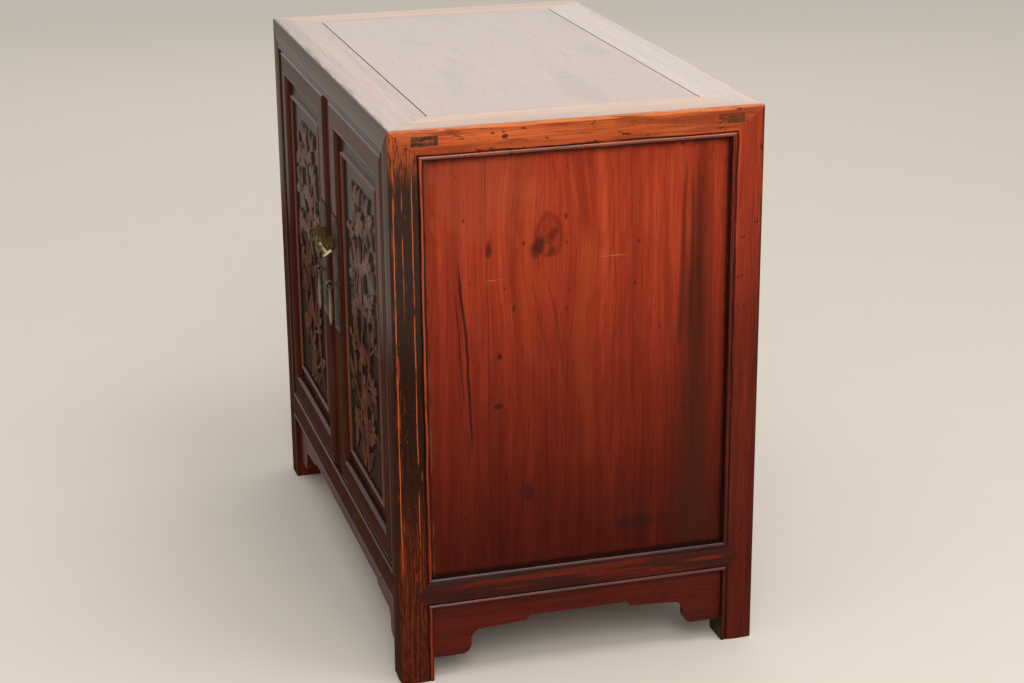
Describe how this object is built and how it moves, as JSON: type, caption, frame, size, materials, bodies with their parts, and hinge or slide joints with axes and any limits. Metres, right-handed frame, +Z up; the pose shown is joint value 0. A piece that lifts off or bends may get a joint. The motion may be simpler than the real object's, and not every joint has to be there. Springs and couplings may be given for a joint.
{
  "type": "cabinet",
  "caption": "Low wooden cabinet with a mitred frame, floating side panels, shaped aprons and pivot-hung carved doors that a brass lock pin holds shut.",
  "frame": {"origin": "on the floor, in the middle of the box that the cabinet and its hardware take up", "axes": "+X to the right seen from the front, +Y to the back, +Z up"},
  "size_m": [0.825, 0.5336, 0.772],
  "materials": {
    "frame": "worn red-brown lacquer",
    "side_panel": "satin red lacquer",
    "top_board": "satin wax",
    "door_frame": "dark satin lacquer",
    "carved_panel": "dark satin lacquer",
    "inner_board": "bare wood",
    "aged_brass": "dull olive patina",
    "bright_brass": "rubbed bright"
  },
  "bodies": {
    "carcass": {"apron_back": "frame", "apron_front": "frame", "apron_left": "frame", "apron_right": "frame", "back_batten": "inner_board", "bottom_batten_left": "inner_board", "bottom_batten_right": "inner_board", "bottom_panel": "inner_board", "leg_back_left": "frame", "leg_back_right": "frame", "leg_front_left": "frame", "leg_front_right": "frame", "lower_rail_back": "frame", "lower_rail_front": "frame", "lower_rail_left": "frame", "lower_rail_right": "frame", "panel_back": "inner_board", "panel_left": "side_panel", "panel_right": "side_panel", "shelf": "inner_board", "shelf_bearer_left": "inner_board", "shelf_bearer_right": "inner_board", "top_batten_left": "inner_board", "top_batten_right": "inner_board", "top_panel": "top_board", "top_rail_back": "frame", "top_rail_front": "frame", "top_rail_left": "frame", "top_rail_right": "frame"},
    "left_door": {"left_door_bottom_rail": "door_frame", "left_door_eye": "aged_brass", "left_door_hinge_stile": "door_frame", "left_door_lock_stile": "door_frame", "left_door_panel": "carved_panel", "left_door_plate": "aged_brass", "left_door_plate_nails": "aged_brass", "left_door_pull_staple": "aged_brass", "left_door_top_rail": "door_frame"},
    "right_door": {"right_door_bottom_rail": "door_frame", "right_door_eye": "aged_brass", "right_door_hinge_stile": "door_frame", "right_door_lock_stile": "door_frame", "right_door_panel": "carved_panel", "right_door_plate": "aged_brass", "right_door_plate_nails": "aged_brass", "right_door_pull_staple": "aged_brass", "right_door_top_rail": "door_frame"},
    "centre_post": {"centre_post": "door_frame"},
    "lock_pin": {"lock_pin": "bright_brass"},
    "left_pull": {"left_door_pull": "aged_brass"},
    "right_pull": {"right_door_pull": "aged_brass"}
  },
  "joints": [
    {"name": "left_door_swing", "type": "hinge", "parent": "carcass", "child": "left_door", "pos_m": [-0.352, -0.22955, 0.44], "axis": [0, 0, -1], "range_deg": [0, 95]},
    {"name": "right_door_swing", "type": "hinge", "parent": "carcass", "child": "right_door", "pos_m": [0.352, -0.22955, 0.44], "axis": [0, 0, 1], "range_deg": [0, 95]},
    {"name": "centre_post_lift", "type": "slide", "parent": "carcass", "child": "centre_post", "axis": [0, 0, 1], "range_m": [0, 0.008]},
    {"name": "lock_pin_slide", "type": "slide", "parent": "right_door", "child": "lock_pin", "axis": [-1, 0, 0], "range_m": [-0.015, 0.0395]},
    {"name": "left_pull_swing", "type": "hinge", "parent": "left_door", "child": "left_pull", "pos_m": [-0.04, -0.25135, 0.4599], "axis": [-1, 0, 0], "range_deg": [-6, 95]},
    {"name": "right_pull_swing", "type": "hinge", "parent": "right_door", "child": "right_pull", "pos_m": [0.04, -0.25135, 0.4599], "axis": [-1, 0, 0], "range_deg": [-6, 95]}
  ]
}
